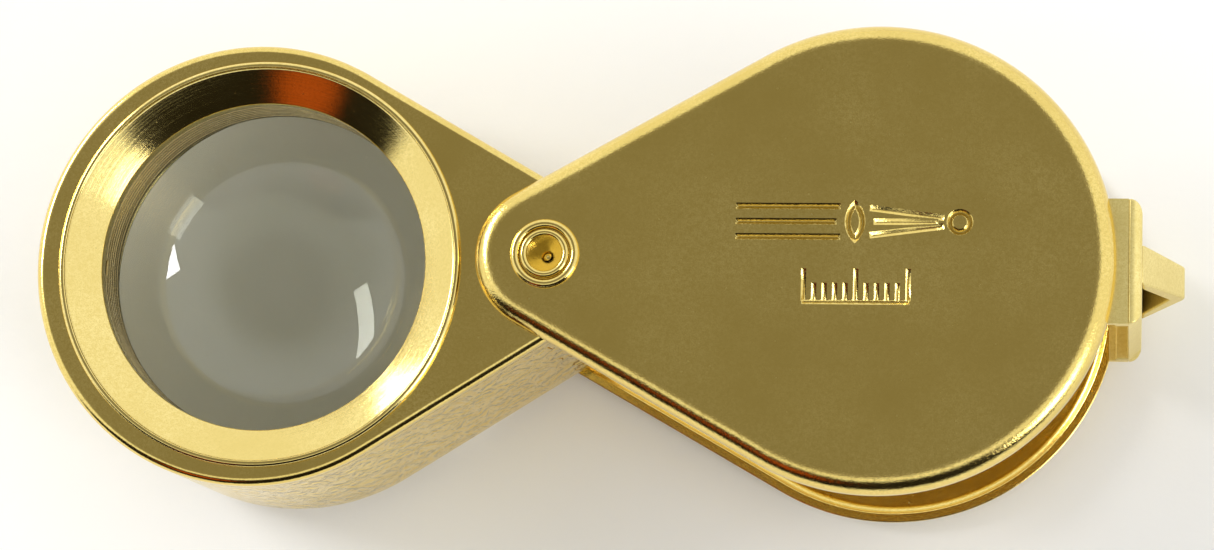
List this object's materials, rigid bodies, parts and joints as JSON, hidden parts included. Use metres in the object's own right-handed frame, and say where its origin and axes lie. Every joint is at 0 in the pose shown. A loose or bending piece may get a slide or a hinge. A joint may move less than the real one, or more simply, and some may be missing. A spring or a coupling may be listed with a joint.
{
  "type": "folding hand lens",
  "caption": "Folding pocket magnifier: a teardrop housing with a cemented triplet lens swings on a rivet between two gold plated covers that close over it; lanyard loop at the end.",
  "frame": {"origin": "middle of the bounding box in X and Y, at the lowest point of the part in Z", "axes": "+X from the lens unit to the lanyard loop, +Z out of the front cover, parallel to the pivot axis"},
  "size_m": [0.0608, 0.0246, 0.0172],
  "materials": {
    "gold_plate": "bright gold plating on brass",
    "brass_inner": "turned brass",
    "optical_glass": "polished optical glass"
  },
  "bodies": {
    "case": {"case_front_cover": "gold_plate", "case_rear_cover": "gold_plate", "case_bridge": "gold_plate", "lanyard_loop": "gold_plate", "pivot_rivet": "gold_plate", "front_cup_washer": "gold_plate", "rear_cup_washer": "gold_plate", "front_friction_washer": "brass_inner", "rear_friction_washer": "brass_inner"},
    "lens_unit": {"housing_front_lid": "gold_plate", "housing_rear_shell": "gold_plate", "pivot_bush": "brass_inner", "lens_barrel": "brass_inner", "front_bezel_ring": "gold_plate", "rear_bezel_ring": "gold_plate", "front_retaining_ring": "brass_inner", "rear_retaining_ring": "brass_inner", "lens_front_element": "optical_glass", "lens_centre_element": "optical_glass", "lens_rear_element": "optical_glass"}
  },
  "joints": [
    {"name": "lens_swing", "type": "hinge", "parent": "case", "child": "lens_unit", "pos_m": [-0.00265, 0, 0.00859], "axis": [0, 0, 1], "continuous": true}
  ]
}
